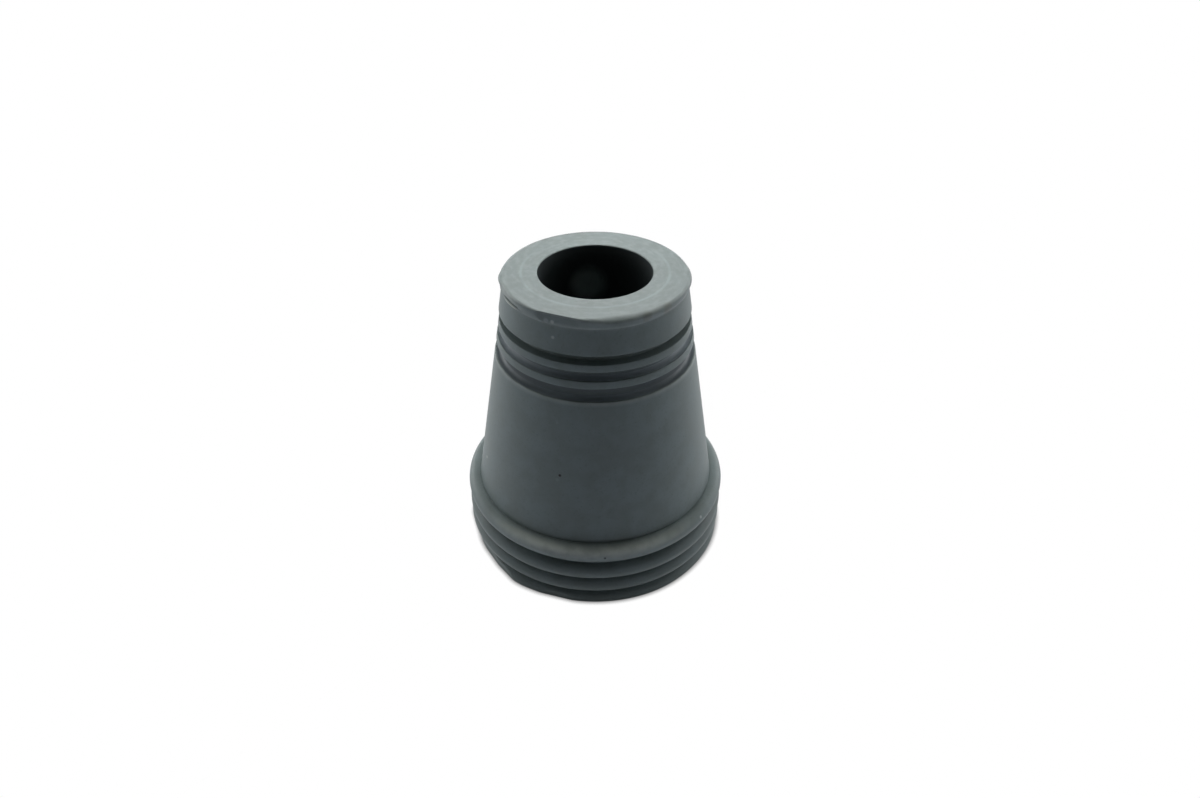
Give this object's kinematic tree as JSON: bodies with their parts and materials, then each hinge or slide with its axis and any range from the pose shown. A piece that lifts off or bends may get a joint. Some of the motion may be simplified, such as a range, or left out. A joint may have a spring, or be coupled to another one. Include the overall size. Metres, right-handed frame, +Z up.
{
  "type": "rubber cane tip",
  "caption": "Conical moulded rubber tip with a blind socket that grips a cane's shaft, a grooved neck, a ribbed base and a ringed sole that stands on the floor.",
  "frame": {"origin": "centre of the sole, on the floor plane under the socket's axis", "axes": "+Z up along the socket's axis, out of its mouth; -Y towards the picture's viewer; +X to the viewer's right"},
  "size_m": [0.048, 0.048, 0.0531],
  "materials": {
    "moulded_rubber": "matte, as moulded"
  },
  "bodies": {
    "root": {"rubber_tip": "moulded_rubber"}
  },
  "joints": []
}
